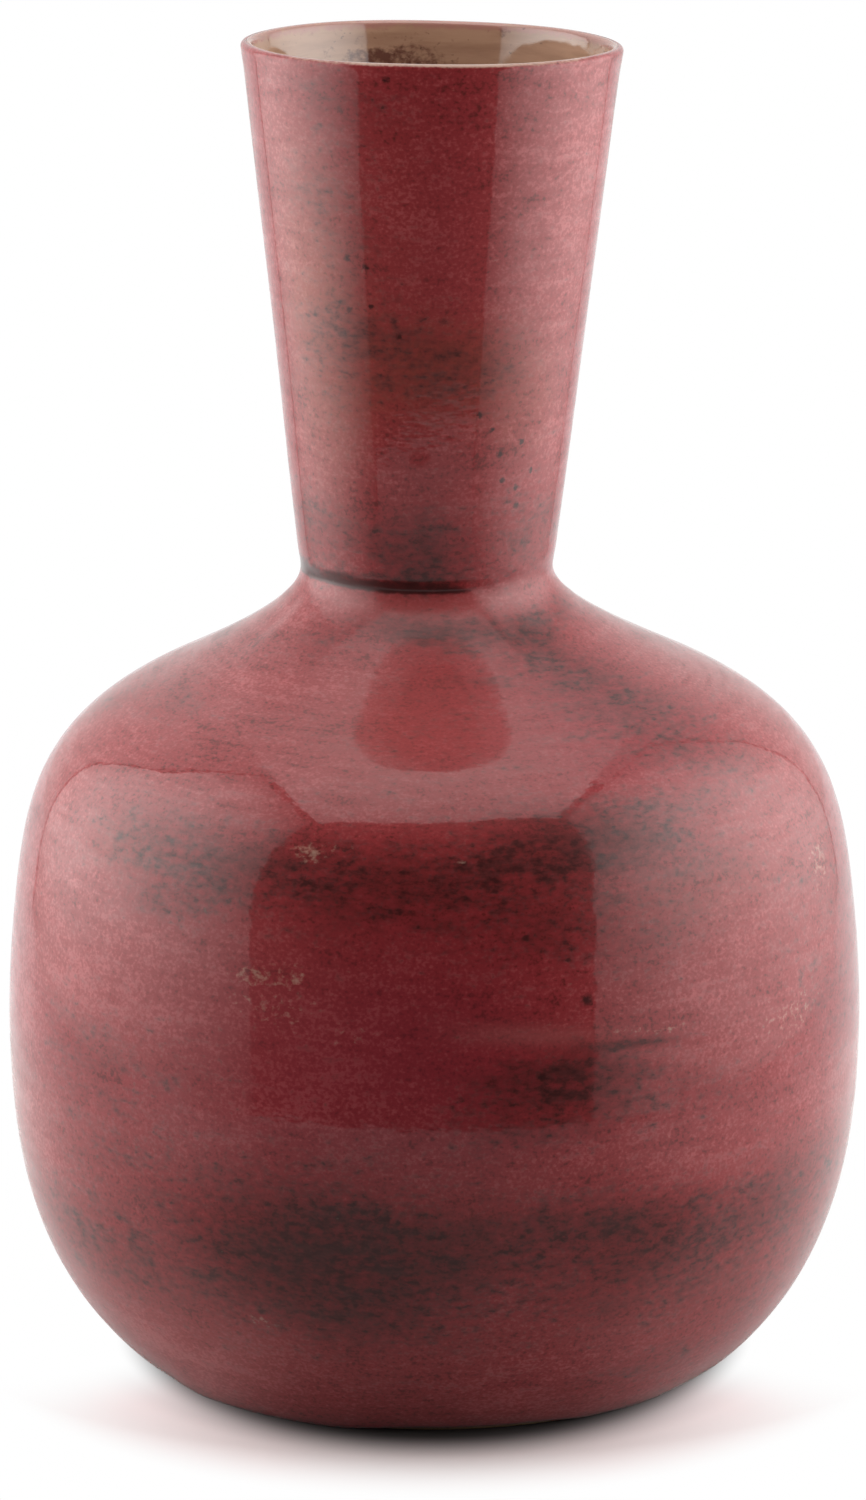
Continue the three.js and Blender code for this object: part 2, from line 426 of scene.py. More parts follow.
def fill(tree, made, inputs):
    """Sets a node's inputs, given by name or number, to a value or to another node's output."""
    for name, value in inputs.items():
        if isinstance(value, bpy.types.NodeSocket):
            tree.links.new(value, made.inputs[name])
        else:
            made.inputs[name].default_value = value


def node(tree, kind, inputs=None, **settings):
    made = tree.nodes.new("ShaderNode" + kind)
    for name, value in settings.items():
        setattr(made, name, value)
    fill(tree, made, inputs or {})
    return made


def tree_of(*values):
    """The node tree that an output among the values belongs to."""
    return next(value.id_data for value in values if isinstance(value, bpy.types.NodeSocket))


def calculated(operation, *values):
    return node(tree_of(*values), "Math", dict(enumerate(values)), operation=operation).outputs[0]


def sum_of(one, other):
    return calculated("ADD", one, other)


def product(one, other):
    return calculated("MULTIPLY", one, other)


def larger(one, other):
    return calculated("MAXIMUM", one, other)


def ramp(value, low, high, to_low=0.0, to_high=1.0):
    """A value eased from one range to another and held at both ends."""
    return node(tree_of(value), "MapRange", {
        "Value": value, "From Min": low, "From Max": high, "To Min": to_low, "To Max": to_high,
    }, interpolation_type="SMOOTHSTEP").outputs["Result"]


def blended(factor, one, other):
    """The Mix node's colour inputs are its sixth and seventh, counted from 0."""
    return node(tree_of(factor), "Mix", {0: factor, 6: one, 7: other}, data_type="RGBA").outputs[2]


def colour_of(red, green, blue):
    return node(tree_of(red, green, blue), "CombineColor", {0: red, 1: green, 2: blue}).outputs[0]


def mixed(share, one, other):
    return node(tree_of(share), "MixShader", {0: share, 1: one.outputs[0], 2: other.outputs[0]})


def grain(vector, around, along, detail=3.0, roughness=0.55, shift=0.0):
    """Noise stretched round the vase: its size in millimetres round the wall and up it."""
    tree = tree_of(vector)
    stretched = node(tree, "Mapping", {
        "Vector": vector,
        "Location": (shift, shift, shift),
        "Scale": (1 / (around * MM), 1 / (around * MM), 1 / (along * MM)),
    }).outputs["Vector"]
    return node(tree, "TexNoise", {
        "Vector": stretched, "Scale": 1.0, "Detail": detail, "Roughness": roughness,
    }).outputs["Fac"]


def new_material(name):
    material = bpy.data.materials.new(name)
    material.use_nodes = True
    tree = material.node_tree
    return material, tree, tree.nodes["Principled BSDF"]


def add_bump(tree, shader, height, strength, distance, sockets=("Normal",)):
    bump = node(tree, "Bump", {"Height": height, "Strength": strength, "Distance": distance})
    fill(tree, shader, {socket: bump.outputs["Normal"] for socket in sockets})


def attribute(tree, name, output="Fac"):
    return node(tree, "Attribute", attribute_name=name).outputs[output]


# Marks on the red glaze. A patch is from, to, low, high, strength and rise to the right: angles are
# round from the front, to the right, in degrees, and heights in millimetres

SMUDGES = [
    (-58, -22, 126, 142, 0.62, -2),
    (-36, 12, 126, 140, 0.52, 0),
    (2, 40, 131, 145, 0.9, 4),
    (-28, 26, 119, 136, 0.45, 0),
    (4, 36, 111, 130, 0.45, 0),
    (30, 50, 124, 140, 0.3, 0),
    (36, 66, 137, 147, 0.22, -3),
    (-46, -28, 117, 129, 0.45, 0),
    (-34, 7, 25, 63, 0.93, 0),
    (-27, 4, 45, 62, 0.7, 0),
    (-2, 56, 44, 63, 0.65, -4),
    (4, 48, 28, 52, 0.45, 0),
    (-74, -28, 26, 54, 0.6, 0),
    (-62, -28, 56, 78, 0.35, 0),
    (-26, -6, 58, 76, 0.3, 0),
    (3, 26, 81, 97, 0.85, 2),
    (2, 24, 73, 85, 0.5, 4),
    (18, 34, 94.4, 96.4, 0.9, -1),
    (16, 36, 86, 94, 0.35, -2),
    (20, 46, 76, 89, 0.4, 0),
    (-66, -40, 74, 99, 0.38, 4),
    (-46, -26, 76, 95, 0.18, 0),
    (56, 86, 72, 106, 0.35, -6),
    (14, 72, 38, 62, 0.3, 0),
    (28, 66, 155, 170, 0.6, -14),
    (24, 48, 164, 172, 0.5, -2),
    (-10, 36, 162, 170, 0.32, -3),
    (28, 58, 148, 162, 0.45, -4),
    (26, 84, 171, 177.5, 0.45, 4),
    (-24, 26, 140, 168, 0.28, 0),
    (44, 84, 100, 135, 0.25, 0),
    (-42, -14, 228, 286, 0.28, 0),
    (-74, -54, 152, 160, 0.35, 0),
    (44, 68, 145, 154, 0.35, -2),
    (-30, 52, 170.5, 177, 0.8, -1),
    (-50, -30, 166, 173, 0.35, 0),
    (-92, -76, 148, 156, 0.5, 3),
    (-64, 26, 222, 247, 0.55, 0),
    (-4, 42, 222, 240, 0.4, 0),
    (-58, -30, 262, 276, 0.3, 0),
    (-50, -14, 282, 298, 0.4, 0),
    (-30, 18, 180, 198, 0.7, 0),
    (-8, 8, 192, 206, 0.35, 0),
    (-80, -24, 181, 203, 0.5, 0),
    (18, 80, 181, 206, 0.5, 0),
    (-20, 14, 181, 186, 0.5, 0),
    (20, 50, 7, 20, 0.4, 0),
    (30, 84, 16, 46, 0.4, 0),
    (52, 82, 38, 62, 0.3, 0),
    (100, 150, 120, 142, 0.7, 4),
    (120, 205, 24, 60, 0.75, 0),
    (170, 215, 84, 108, 0.5, 0),
    (140, 190, 236, 250, 0.5, 0),
    (215, 262, 134, 150, 0.6, -4),
]

BLUSHES = [
    (-62, -28, 84, 122, 0.8, 0),
    (-24, 8, 76, 94, 0.6, 0),
    (-104, -54, 56, 134, 1.0, 0),
    (-38, -2, 84, 114, 0.7, 0),
    (58, 92, 144, 160, 0.6, 0),
    (-85, -36, 258, 299, 0.6, 0),
    (34, 86, 252, 299, 0.9, 0),
    (-60, -18, 2, 30, 1.0, 0),
    (10, 60, 2, 28, 0.5, 0),
    (55, 100, 60, 90, 0.4, 0),
    (-70, 70, 62, 84, 0.3, 0),
    (-20, 20, 244, 270, 0.5, 0),
    (150, 210, 60, 120, 0.5, 0),
]

# Painted sheen: pale patches that stand in for soft reflections, on the shoulder below the neck, under the
# crease, on the neck, along the ledge and on the lower body
PAINTED_SHEEN_PATCHES = [
    (-26, 26, 145, 173, 0.9, 0),
    (-38, 38, 194, 286, 0.35, 0),
    (3, 23, 97.2, 101.8, 1.0, -2.8),
    (-38, -10, 90, 126, 0.3, 0),
    (-45, 45, 175.4, 181.4, 0.9, 0),
    (-68, -16, 2, 44, 0.5, 0),
    (18, 62, 24, 44, 0.25, 0),
    (140, 220, 60, 110, 0.3, 0),
]

# Painted reflection: a dull dot and line where the glaze mirrors less, standing for the dark reflections of
# the table's front edge and of a small dark thing in front of the vase
DARK_REFLECTION_MARKS = [
    (-8, 1.5, 210.1, 214.9, 1.0, 0),
    (-20, 16, 222.8, 225.2, 0.8, -0.6),
]

BROWNED = [
    (-66, -22, 196, 290, 1.0, 0),
    (-44, 44, 217, 248, 0.8, 0),
    (20, 60, 208, 240, 0.6, 0),
    (-60, -36, 124, 140, 0.5, 0),
    (20, 60, 116, 134, 0.4, 0),
]

CRIMSONED = [
    (-34, 14, 72, 120, 1.0, 0),
    (4, 62, 146, 168, 0.6, 0),
    (-4, 20, 236, 296, 0.3, 0),
]

# Patches inside the lip

DULL_PATCHES = [
    (102, 160, HEIGHT - 40, HEIGHT - 3.5, 1.0, 0),
    (112, 150, HEIGHT - 12, HEIGHT - 3.5, 1.0, 0),
    (236, 262, HEIGHT - 12, HEIGHT - 3, 1.0, 0),
]

STAINS = [
    (172, 222, HEIGHT - 15, HEIGHT - 4, 1.0, 0),
    (150, 160, HEIGHT - 3, HEIGHT - 0.5, 0.6, 0),
]

FLECKS_AND_LEDGE_HIGHLIGHT = [
    # angle, height, half width, half height, strength
    (-17.6, 137, 3.0, 2.2, 1.0),
    (-13, 138.4, 4, 0.8, 0.6),
    (-24, 111, 3.0, 2.6, 1.0),
    (-19, 111.5, 3.4, 3.2, 0.85),
    (-20, 104, 7, 6, 0.55),
    (-11, 99, 6, 4, 0.45),
    (3.7, 136.2, 0.9, 0.9, 1.0),
    (-23.7, 31.1, 2.2, 2.0, 0.8),
    (66, 122, 3.5, 6, 0.8),
    (54, 93, 9, 6, 0.6),
    # Painted highlight: two thin pale lines along the ledge, where its upturned edge catches the light
    (24.5, 98.2, 4.5, 0.5, 0.9),
    (32, 97.2, 5, 0.5, 0.9),
    (200, 110, 8, 6, 0.6),
]

DARK_DOTS = [
    # angle, height, radius
    (19.8, 106.2, 1.5),
    (13.5, 90.5, 1.2),
    (-27.8, 256.9, 1.15),
    (-28.1, 245.3, 1.0),
    (-21, 255, 1.0),
    (20.3, 221.9, 0.8),
    (25.7, 218.2, 0.75),
    (29.8, 212.3, 0.9),
    (39.6, 200.1, 0.95),
    (46.1, 207.7, 0.7),
    (39.8, 214.7, 0.85),
    (38.6, 204.3, 0.85),
    (31.7, 206.4, 0.75),
    (-26.7, 289, 1.15),
    (-11.9, 296.6, 0.9),
    (-19.7, 246.3, 0.9),
    (-9.8, 239.9, 0.9),
]

# The soft patches that colour the red glaze, and all the fields that its surface carries
OUTER_PATCHES = {
    "smudge": SMUDGES,
    "blush": BLUSHES,
    "haze": PAINTED_SHEEN_PATCHES,
    "dry": DARK_REFLECTION_MARKS,
    "browned": BROWNED,
    "crimsoned": CRIMSONED,
}
OUTER_FIELDS = (*OUTER_PATCHES, "fleck", "crease", "worked", "thin")

# How abruptly a soft patch ends round the vase and up it
PATCH_POWER_ROUND = 2.6
PATCH_POWER_UP = 2.2

# A dark dot's full core and its edge, in shares of its radius, and the noise that makes it uneven
DOT_CORE = 0.4
DOT_EDGE = 1.2
DOT_STRAY = 1.6 * MM
DOT_NOISE_SCALE = 900.0

# The pool of dark glaze in the crease, with its angles counted from its middle
POOL_MIDDLE = -30
POOL_RIGHT_END = (44, 54)
POOL_LEFT_END = (60, 80)
POOL_ANGLES = [-60, 20, 52]
POOL_HEIGHTS = [5.6, 5.0, 1.6]
POOL_FOOT = -0.7
POOL_FOOT_FADE = (-0.6, 0.4)
POOL_TOP_FADE = (0.15, 1.2)

# The uneven band under the crease, the pale worn lip, and the red glaze that laps over the lip
WORKED_BELOW = 4
WORKED_REACH = 6
THIN_FROM = 1.3
THIN_TO = 0.1
WORN_LEAST = 0.4
WORN_MIDDLE = 8
WORN_REACH = 46
LAP_FROM = 2.8
LAP_TO = 0.8
LAP_WORN_OFF = 0.75
LAP_WORN_MIDDLE = 14
LAP_WORN_REACH = 40


def angle_from(centre, degrees):
    return (degrees - centre + 180) % 360 - 180


def patch_field(rows, degrees, level):
    """Some listed soft patches, laid over each other."""
    field = np.zeros_like(level)
    for start, end, low, high, strength, rise in rows:
        half_width = (end - start) / 2
        across = angle_from((start + end) / 2, degrees) / half_width
        middle = (low + high) / 2 + rise * across / 2
        up = (level - middle) / ((high - low) / 2)
        patch = strength * np.exp(-(np.abs(across) ** PATCH_POWER_ROUND) - np.abs(up) ** PATCH_POWER_UP)
        field = 1 - (1 - field) * (1 - patch)
    return field


def fleck_and_highlight_field(degrees, level):
    """How thickly the glaze is flecked with cream, in a few small clusters, and a painted highlight along the
    ledge.
    """
    field = np.zeros_like(level)
    for angle, height, half_width, half_height, strength in FLECKS_AND_LEDGE_HIGHLIGHT:
        across = angle_from(angle, degrees) / half_width
        up = (level - height) / half_height
        field = np.maximum(field, strength * np.exp(-(across**2) - up**2))
    return field


def crease_field(degrees, level):
    """The pool of dark glaze in the crease, which ends to the right of the front."""
    around = angle_from(POOL_MIDDLE, degrees)
    inside = 1 - smooth_step(around, *POOL_RIGHT_END)
    inside = inside * (1 - smooth_step(-around, *POOL_LEFT_END))
    thick = np.interp(around, POOL_ANGLES, POOL_HEIGHTS)
    above = level - COLLAR[1] - POOL_FOOT
    below_top = 1 - smooth_step(above, POOL_TOP_FADE[0] * thick, POOL_TOP_FADE[1] * thick)
    return inside * smooth_step(above, *POOL_FOOT_FADE) * below_top


def worked_field(level):
    """Where fingers and the joining tool left the surface under the crease less even."""
    return np.exp(-(((level - COLLAR[1] + WORKED_BELOW) / WORKED_REACH) ** 2))


def near_angle(middle, reach, degrees):
    """1 at an angle round the vase, fading to 0 on both sides over a reach."""
    return np.exp(-((angle_from(middle, degrees) / reach) ** 2))


def worn_lip(degrees):
    """How much of the pale edge of the lip shows: most of it a little right of the front."""
    return WORN_LEAST + (1 - WORN_LEAST) * near_angle(WORN_MIDDLE, WORN_REACH, degrees)


def lapped_lip(degrees):
    """How much red glaze laps over the lip: all round, and least where the lip is worn."""
    return 1 - LAP_WORN_OFF * near_angle(LAP_WORN_MIDDLE, LAP_WORN_REACH, degrees)


def wall_point(angle, level):
    """The place on the outside of the vase at an angle from the front and a height."""
    radius = np.interp(level, OUTSIDE[:, 1], OUTSIDE[:, 0])
    turn = math.radians(angle)
    shift = NECK_SHIFT if level > COLLAR[1] else 0
    return (MM * (radius * math.sin(turn) + shift), -MM * radius * math.cos(turn), MM * level)


def strayed(position):
    """Each place moved a little by noise, so that round marks get an uneven edge."""
    tree = tree_of(position)
    wobble = node(tree, "TexNoise", {
        "Vector": position, "Scale": DOT_NOISE_SCALE, "Detail": 2.0,
    }).outputs["Color"]
    moved = node(tree, "VectorMath", {
        0: wobble, 1: (DOT_STRAY,) * 3, 2: position,
    }, operation="MULTIPLY_ADD").outputs["Vector"]
    return node(tree, "VectorMath", {0: moved, 1: (-DOT_STRAY / 2,) * 3}).outputs["Vector"]


def dots(position, rows):
    """Where the surface lies within one of a few small round marks."""
    marked = None
    for angle, level, radius in rows:
        away = node(tree_of(position), "VectorMath", {
            0: position, 1: wall_point(angle, level),
        }, operation="DISTANCE").outputs["Value"]
        mark = ramp(away, radius * MM * DOT_CORE, radius * MM * DOT_EDGE, 1.0, 0.0)
        marked = mark if marked is None else larger(marked, mark)
    return marked


def weighed(start, *parts):
    """A start value plus each noise's share, counted from the noise's middle."""
    total = start
    for noise, weight in parts:
        share = calculated("MULTIPLY_ADD", noise, weight, -0.5 * weight)
        total = sum_of(total, share)
    return total


# Colours, as linear light
RED = (0.285, 0.026, 0.03, 1)
PINK_RED = (0.42, 0.068, 0.074, 1)
BROWN_RED = (0.13, 0.0145, 0.014, 1)
SMEAR = (0.058, 0.0125, 0.0115, 1)
CHAR = (0.032, 0.0065, 0.006, 1)
CRIMSON = (0.25, 0.018, 0.042, 1)
VEIL = (0.33, 0.105, 0.032, 1)
PAINTED_SHEEN = (0.42, 0.14, 0.13, 1)
CREAM = (0.5, 0.31, 0.23, 1)
STAIN = (0.1, 0.026, 0.02, 1)
ROSE = (0.43, 0.19, 0.165, 1)
BUFF = (0.46, 0.27, 0.178, 1)
DEEP_BUFF = (0.36, 0.2, 0.13, 1)
SPECK = (0.1, 0.06, 0.04, 1)
CLAY = (0.42, 0.27, 0.16, 1)
DEEP_CLAY = (0.34, 0.2, 0.11, 1)
SLIP = (0.3, 0.18, 0.1, 1)
DEEP_SLIP = (0.24, 0.14, 0.08, 1)
GRIT = (0.09, 0.055, 0.035, 1)
WHITE = (1, 1, 1, 1)
LAMP_WHITE = (1, 1, 0.98, 1)

# The noises in the red glaze, from wide clouds to pepper
RED_NOISES = {
    # size round the wall and up it in millimetres, detail, roughness, shift
    "clouds": (30, 14, 3, 0.55, 0),
    "patches": (10, 4.5, 3, 0.6, 2.3),
    "striations": (20, 1.6, 2, 0.6, 5.1),
    "strokes": (2.6, 1.5, 2, 0.6, 3.1),
    "mottle": (1.6, 1.3, 2, 0.6, 9.4),
    "pepper": (0.85, 0.75, 1, 0.6, 7.7),
}


def ground_colour(field, noise):
    """The red itself, from brownish to pink, and more crimson in places."""
    tone = weighed(
        sum_of(product(field.blush, 0.12), 0.515), (noise.clouds, 0.5), (noise.patches, 0.5),
        (noise.striations, 0.35), (noise.mottle, 0.7), (noise.pepper, 0.75),
    )
    colour = blended(ramp(tone, 0.18, 0.5), BROWN_RED, RED)
    colour = blended(ramp(tone, 0.5, 0.84), colour, PINK_RED)
    return blended(product(field.crimsoned, 0.32), colour, CRIMSON)


def brown_veil(field, noise):
    """How much of a thin brown veil lies on the red."""
    veil = weighed(product(field.browned, 0.25), (noise.patches, 0.15), (noise.mottle, 0.2))
    return ramp(veil, 0.02, 0.7)


def smear_share(field, noise):
    """How much of a smudge lies at a place, broken up by strokes and grain."""
    smear = weighed(
        field.smudge, (noise.patches, 1.2), (noise.striations, 0.7), (noise.strokes, 1.0),
        (noise.mottle, 1.1), (noise.pepper, 0.6),
    )
    return ramp(smear, 0.1, 1.1)


def with_dark_marks(colour, field, noise, smeared):
    """The smudges, the dashes and dots round them, the painted sheen and the pool in the crease."""
    colour = blended(product(smeared, 0.88), colour, SMEAR)
    dash = product(field.smudge, 0.3)
    dash = weighed(dash, (noise.strokes, 1.0), (noise.patches, 0.4), (noise.pepper, 0.3))
    colour = blended(ramp(dash, 0.22, 0.5, 0, 0.66), colour, CHAR)
    dot = weighed(product(field.smudge, 0.16), (noise.mottle, 1.0), (noise.patches, 0.3))
    colour = blended(ramp(dot, 0.25, 0.42, 0, 0.6), colour, CHAR)
    # Painted sheen: pale patches in place of soft reflections
    colour = blended(product(field.haze, 0.28), colour, PAINTED_SHEEN)
    pool = weighed(field.crease, (noise.strokes, 0.7), (noise.mottle, 0.7))
    return blended(ramp(pool, 0.05, 0.95, 0, 0.88), colour, CHAR)


def with_pale_marks(colour, field, noise):
    """The cream flecks, a painted highlight along the ledge, and the worn lip."""
    # Cream flecks, and a painted highlight line along the ledge
    fleck_and_highlight_share = weighed(product(field.fleck, 0.5), (noise.mottle, 1.3))
    colour = blended(ramp(fleck_and_highlight_share, 0.26, 0.7, 0, 0.6), colour, CREAM)
    worn = weighed(field.thin, (noise.patches, 0.9), (noise.pepper, 0.5))
    return blended(ramp(worn, 0.45, 0.95, 0, 0.85), colour, CREAM)


def coat_weight(field, noise, smeared, veil):
    """How strongly the glaze mirrors: less where it is smeared or veiled, and in a few dull marks that paint
    dark reflections.
    """
    shine = ramp(smeared, 0, 1, 0.74, 0.54)
    shine = weighed(shine, (noise.patches, 0.55), (noise.striations, 0.4), (noise.mottle, 0.4))
    # Painted reflection: dull marks for the dark reflections on the neck
    shine = product(shine, ramp(field.dry, 0.2, 0.8, 1, 0.35))
    return product(shine, ramp(veil, 0, 1, 1, 0.6))


def red_glaze():
    material, tree, shader = new_material("red_glaze")
    wrap = attribute(tree, "wrap", "Vector")
    position = node(tree, "TexCoord").outputs["Object"]
    field = SimpleNamespace(**{name: attribute(tree, name) for name in OUTER_FIELDS})
    noise = SimpleNamespace(**{name: grain(wrap, *row) for name, row in RED_NOISES.items()})
    veil = brown_veil(field, noise)
    smeared = smear_share(field, noise)

    colour = blended(veil, ground_colour(field, noise), VEIL)
    colour = with_dark_marks(colour, field, noise, smeared)
    dotted = dots(strayed(position), DARK_DOTS)
    colour = blended(product(dotted, 0.88), colour, CHAR)
    colour = with_pale_marks(colour, field, noise)
    mattness = sum_of(ramp(smeared, 0, 1, 0.05, 0.1), product(field.worked, 0.14))
    fill(tree, shader, {
        "Base Color": colour,
        "Roughness": 0.35,
        "IOR": 1.5,
        "Specular IOR Level": 0.15,
        "Coat Weight": coat_weight(field, noise, smeared, veil),
        "Coat Roughness": mattness,
        "Coat IOR": 1.5,
    })
    peel = grain(wrap, 3.2, 2.2, detail=2, roughness=0.5, shift=1.3)
    add_bump(tree, shader, peel, 0.35, 0.08 * MM, ("Normal", "Coat Normal"))
    return material


def buff_glaze():
    material, tree, shader = new_material("buff_glaze")
    wrap = attribute(tree, "wrap", "Vector")
    dull, stain, lap = (attribute(tree, name) for name in ("dull", "stain", "lap"))
    streaks = grain(wrap, 22, 3.2, detail=4, roughness=0.6)
    blots = grain(wrap, 4, 3, roughness=0.6, shift=6.6)
    specks = grain(wrap, 1.6, 1.3, detail=2, roughness=0.6, shift=4.2)
    colour = blended(ramp(streaks, 0.35, 0.7), BUFF, DEEP_BUFF)
    lapped = weighed(lap, (blots, 1.4), (specks, 0.9))
    colour = blended(ramp(lapped, 0.3, 1.15, 0, 0.85), colour, ROSE)
    stained = weighed(stain, (blots, 2.0), (specks, 1.2))
    colour = blended(ramp(stained, 0.4, 1.1, 0, 0.85), colour, STAIN)
    colour = blended(ramp(specks, 0.66, 0.76, 0, 0.6), colour, SPECK)
    matt = ramp(weighed(dull, (blots, 0.25)), 0.42, 0.58)
    roughness = sum_of(ramp(streaks, 0.3, 0.8, 0.05, 0.09), product(matt, 0.5))
    fill(tree, shader, {
        "Base Color": colour,
        "Roughness": roughness,
        "Specular IOR Level": ramp(matt, 0, 1, 0.5, 0.06),
        "IOR": 1.75,
    })
    add_bump(tree, shader, streaks, 0.4, 0.2 * MM)
    return material


def bare_clay(name, light, dark, roughness):
    material, tree, shader = new_material(name)
    position = node(tree, "TexCoord").outputs["Object"]
    clouds = grain(position, 9, 9, detail=4)
    grit = grain(position, 0.9, 0.9, detail=2, roughness=0.7, shift=5.5)
    colour = blended(ramp(clouds, 0.3, 0.7), light, dark)
    colour = blended(ramp(grit, 0.6, 0.75, 0, 0.7), colour, GRIT)
    fill(tree, shader, {"Base Color": colour, "Roughness": roughness})
    add_bump(tree, shader, grit, 0.6, 0.3 * MM)
    return material


# The pieces


def smooth_waves(degrees, level, seed, count, most_round, shortest, longest):
    """A gentle random field round and up the wall, made of a few seeded waves."""
    draw = np.random.default_rng(seed)
    field = np.zeros_like(level)
    for _ in range(count):
        around = draw.integers(-most_round, most_round + 1)
        pitch = draw.uniform(shortest, longest)
        phase = draw.uniform(0, 2 * math.pi)
        field += np.sin(2 * math.pi * level / pitch + around * np.radians(degrees) + phase)
    return field / math.sqrt(count)


def bent_out(line, proud):
    """A section repeated round the vase, with its surface moved out by a field: radius and level."""
    left = leftward(line)
    return line[:, 0:1] - left[:, 0:1] * proud, line[:, 1:2] - left[:, 1:2] * proud


def wrap_of(radius, along, steps):
    around = azimuths(steps)
    along = along[:, None] + np.zeros((1, steps))
    return np.stack([radius * np.sin(around), -radius * np.cos(around), along], axis=2) * MM


def potter_relief(degrees, level):
    """How far the red surface stands out from the turned outline: throwing lines and a ledge."""
    on_neck = smooth_step(level, COLLAR[1] + ON_NECK_FROM, COLLAR[1] + ON_NECK_TO)
    throwing = smooth_waves(degrees, level, **THROWING_WAVES)
    uneven = smooth_waves(degrees, level, **UNEVEN_WAVES)
    proud = THROWING_DEPTH * (1 - NECK_SMOOTHER * on_neck) * throwing + OUT_OF_ROUND / 2 * uneven
    span = (LEDGE_TO - LEDGE_FROM) / 2
    near = np.abs(angle_from((LEDGE_FROM + LEDGE_TO) / 2, degrees))
    ledge = 1 - smooth_step(near, span - LEDGE_FADE, span + LEDGE_FADE)
    sunk = level + LEDGE_SINK * angle_from(LEDGE_FROM, degrees)
    proud = proud + ledge * np.interp(sunk, [LEDGE_END, LEDGE_LOW, LEDGE_TOP], [0, -LEDGE_DEPTH, 0])
    ends = smooth_step(level, GLAZE_EDGE[1], GLAZE_EDGE[1] + CALM_ABOVE_EDGE)
    ends = ends * (1 - smooth_step(level, HEIGHT - CALM_BELOW_LIP_FROM, HEIGHT - CALM_BELOW_LIP_TO))
    return np.minimum(proud - SURFACE_INSET, -LEAST_INSET) * ends


def glaze_run(degrees):
    """How much lower the red glaze ends than its usual edge, where it ran down."""
    run = np.zeros_like(degrees)
    for start, full_from, full_to, end, depth in GLAZE_RUNS:
        there = smooth_step(degrees, start, full_from) * (1 - smooth_step(degrees, full_to, end))
        run = run + depth * there
    return run


def glaze_surface(around):
    """The outside of the red glaze, radius and level: its crease is sharp, filled or soft by turns."""
    away = np.abs(angle_from((SOFT_FROM + SOFT_TO) / 2, around))
    half_soft = (SOFT_TO - SOFT_FROM) / 2
    softness = 1 - smooth_step(away, half_soft - SOFT_FADE, half_soft)
    filled = 1 - smooth_step(np.abs(around), FILLED_TO - FILLED_FADE, FILLED_TO + FILLED_FADE)
    degrees = around + np.zeros((len(OUTSIDE), 1))
    proud = potter_relief(degrees, OUTSIDE[:, 1:2] + np.zeros_like(degrees))

    front = bent_out(softened(FILLED_OUTSIDE, SHARP_CREASE), proud)
    sharp = bent_out(softened(OUTSIDE, SHARP_CREASE), proud)
    soft = bent_out(softened(OUTSIDE, SOFT_CREASE), proud)
    surface = []
    for at_front, at_sharp, at_soft in zip(front, sharp, soft):
        crisp = at_front * filled + at_sharp * (1 - filled)
        surface.append(crisp * (1 - softness) + at_soft * softness)
    radius, level = surface
    low = 1 - smooth_step(level, GLAZE_EDGE[1], GLAZE_EDGE[1] + GLAZE_RUN_REACH)
    return radius, level - glaze_run(around) * low


def outer_glaze(material):
    around = np.degrees(azimuths(GLAZE_STEPS))[None, :]
    front_radius, front_level = glaze_surface(around)
    back = inset(CLAY_LINE, glaze_depth(CLAY_LINE[:, 1]))[::-1]
    back_radius, back_level = grid(back, GLAZE_STEPS)
    radius = np.vstack([front_radius, back_radius])
    level = np.vstack([front_level, back_level])
    degrees = around + np.zeros_like(radius)
    along = np.concatenate([arc_length(OUTSIDE), arc_length(back)[::-1]])
    fields = {name: patch_field(rows, degrees, level) for name, rows in OUTER_PATCHES.items()}
    fields["wrap"] = wrap_of(radius, along, GLAZE_STEPS)
    fields["fleck"] = fleck_and_highlight_field(degrees, level)
    fields["crease"] = crease_field(degrees, level)
    fields["worked"] = worked_field(level)
    fields["thin"] = smooth_step(level, HEIGHT - THIN_FROM, HEIGHT - THIN_TO) * worn_lip(degrees)
    piece = turned("outer_glaze_surface", radius, level, material, fields=fields)
    finished(piece, "outer_glaze")


def lining_glaze(material):
    back = inset(INSIDE, LINING_THICKNESS)[::-1]
    section = np.vstack([back[1:], INSIDE[:-1]])
    radius, level = grid(section, GLAZE_STEPS)
    degrees = np.degrees(azimuths(GLAZE_STEPS))[None, :] + np.zeros_like(radius)
    fields = {
        "wrap": wrap_of(radius, arc_length(section), GLAZE_STEPS),
        "dull": patch_field(DULL_PATCHES, degrees, level),
        "stain": patch_field(STAINS, degrees, level),
        "lap": smooth_step(level, HEIGHT - LAP_FROM, HEIGHT - LAP_TO) * lapped_lip(degrees),
    }
    piece = turned("lining_glaze_surface", radius, level, material, on_axis=True, fields=fields)
    finished(piece, "lining_glaze")


def groove_at(level):
    """The bottom of a joint's groove, in the middle of the wall."""
    outer = stretch(CLAY_OUTSIDE, level, math.inf)[0]
    inner = stretch(CLAY_INSIDE, level, math.inf)[-1]
    return place((outer[0] + inner[0]) / 2, level - JOINT_DEPTH)


def wall_section(low, high):
    return np.vstack([
        stretch(CLAY_OUTSIDE, low, high),
        groove_at(high),
        stretch(CLAY_INSIDE, low, high),
        groove_at(low),
    ])


def clay_piece(name, section, material, on_axis=False):
    radius, level = grid(section, CLAY_STEPS)
    piece = turned(name + "_clay", radius, level, material, on_axis=on_axis)
    finished(piece, name)


